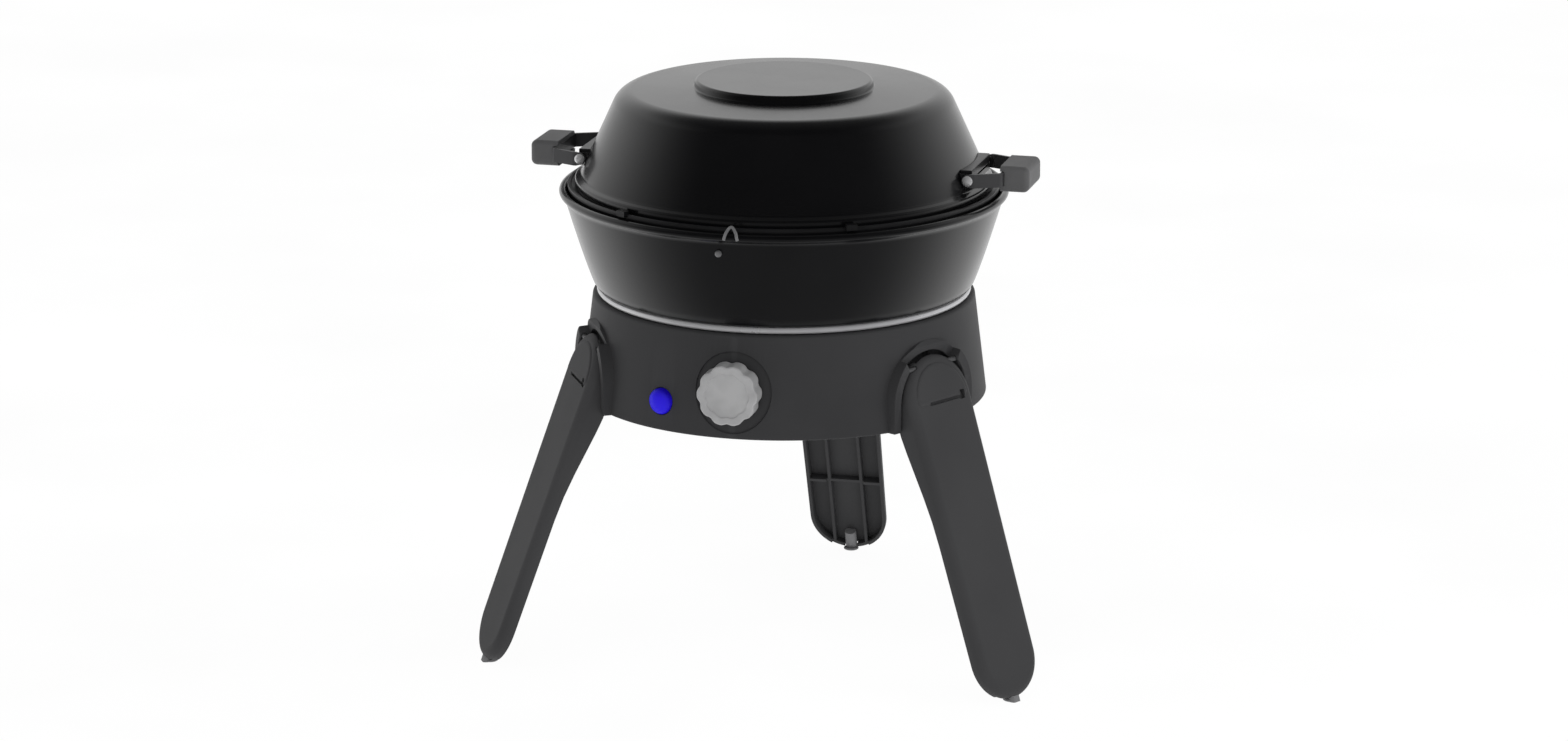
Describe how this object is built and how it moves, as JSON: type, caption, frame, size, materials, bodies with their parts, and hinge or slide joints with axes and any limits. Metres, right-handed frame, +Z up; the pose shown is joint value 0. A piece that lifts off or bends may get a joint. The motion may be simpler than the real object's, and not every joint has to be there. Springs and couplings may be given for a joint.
{
  "type": "portable tabletop gas grill",
  "caption": "Portable gas grill: domed lid with folding strip handles, slotted grill plate, tapered bowl, round burner housing with knob and igniter, fold-out tripod legs.",
  "frame": {"origin": "centre of the bounding box at the floor, between the three feet", "axes": "+Z up, -Y towards the control knob, +X to the right hand of a person facing the knob"},
  "size_m": [0.417, 0.3964, 0.419],
  "materials": {
    "black_enamel": "gloss vitreous enamel",
    "cast_plate": "satin non-stick coating",
    "housing_plastic": "fine matt grain",
    "foot_rubber": "matt",
    "bright_ring": "polished",
    "knob_silver": "satin silver paint",
    "igniter_blue": "gloss",
    "grip_plastic": "matt",
    "dark_strip": "satin",
    "bright_rivet": "bright",
    "steel": "zinc plated",
    "brass": "satin",
    "cast_aluminium": "as cast",
    "black_cap": "matt enamel",
    "black_plastic": "satin",
    "porcelain": "glazed"
  },
  "bodies": {
    "base": {"burner_housing": "housing_plastic", "bottom_cover": "housing_plastic", "cover_screw_1": "steel", "cover_screw_2": "steel", "cover_screw_3": "steel", "heat_shield": "steel", "trim_ring": "bright_ring", "bowl": "black_enamel", "bowl_screw_1": "steel", "bowl_screw_2": "steel", "bowl_screw_3": "steel", "rim_clip": "dark_strip", "rim_clip_rivet": "bright_rivet", "leg_pin_right": "steel", "leg_pin_left": "steel", "leg_pin_rear": "steel", "gas_valve_body": "brass", "gas_jet": "brass", "gas_pipe": "brass", "hose_tail": "brass", "venturi_tube": "cast_aluminium", "burner_head": "cast_aluminium", "burner_cap": "black_cap", "burner_bracket": "steel", "piezo_body": "black_plastic", "ignition_lead": "black_plastic", "electrode_insulator": "porcelain", "spark_electrode": "steel"},
    "leg_right_body": {"leg_right": "housing_plastic", "foot_peg_right": "foot_rubber"},
    "leg_left_body": {"leg_left": "housing_plastic", "foot_peg_left": "foot_rubber"},
    "leg_rear_body": {"leg_rear": "housing_plastic", "foot_peg_rear": "foot_rubber"},
    "knob_body": {"control_knob": "knob_silver", "valve_spindle": "steel"},
    "igniter_body": {"igniter_button": "igniter_blue"},
    "grill_plate_body": {"grill_plate": "cast_plate"},
    "lid_body": {"lid": "black_enamel", "handle_bracket_right": "dark_strip", "handle_bracket_left": "dark_strip", "handle_rivet_right_rear": "bright_rivet", "handle_rivet_right_front": "bright_rivet", "handle_rivet_left_rear": "bright_rivet", "handle_rivet_left_front": "bright_rivet"},
    "handle_right_body": {"handle_strap_right": "dark_strip", "handle_grip_right": "grip_plastic"},
    "handle_left_body": {"handle_strap_left": "dark_strip", "handle_grip_left": "grip_plastic"}
  },
  "joints": [
    {"name": "leg_right_fold", "type": "hinge", "parent": "base", "child": "leg_right_body", "pos_m": [0.12419, -0.10259, 0.232], "axis": [-0.4848, -0.8746, 0], "range_deg": [0, 146]},
    {"name": "leg_left_fold", "type": "hinge", "parent": "base", "child": "leg_left_body", "pos_m": [-0.12484, -0.10693, 0.232], "axis": [-0.515, 0.8572, 0], "range_deg": [0, 146]},
    {"name": "leg_rear_fold", "type": "hinge", "parent": "base", "child": "leg_rear_body", "pos_m": [-0.00409, 0.11091, 0.232], "axis": [0.9998, 0.0175, 0], "range_deg": [0, 146]},
    {"name": "knob_turn", "type": "hinge", "parent": "base", "child": "knob_body", "pos_m": [-0.00158, -0.17087, 0.2238], "axis": [0, -1, 0], "range_deg": [0, 210]},
    {"name": "igniter_press", "type": "slide", "parent": "base", "child": "igniter_body", "axis": [0.3907, 0.9205, 0], "range_m": [0, 0.005], "stiffness_N_per_m": 300},
    {"name": "grill_plate_lift", "type": "slide", "parent": "base", "child": "grill_plate_body", "axis": [0, 0, 1], "range_m": [0, 0.12]},
    {"name": "lid_lift", "type": "slide", "parent": "grill_plate_body", "child": "lid_body", "axis": [0, 0, 1], "range_m": [0, 0.2]},
    {"name": "handle_right_fold", "type": "hinge", "parent": "lid_body", "child": "handle_right_body", "pos_m": [0.14192, -0.03287, 0.359], "axis": [0, -1, 0], "range_deg": [0, 80]},
    {"name": "handle_left_fold", "type": "hinge", "parent": "lid_body", "child": "handle_left_body", "pos_m": [-0.14508, -0.03287, 0.359], "axis": [0, 1, 0], "range_deg": [0, 80]}
  ]
}
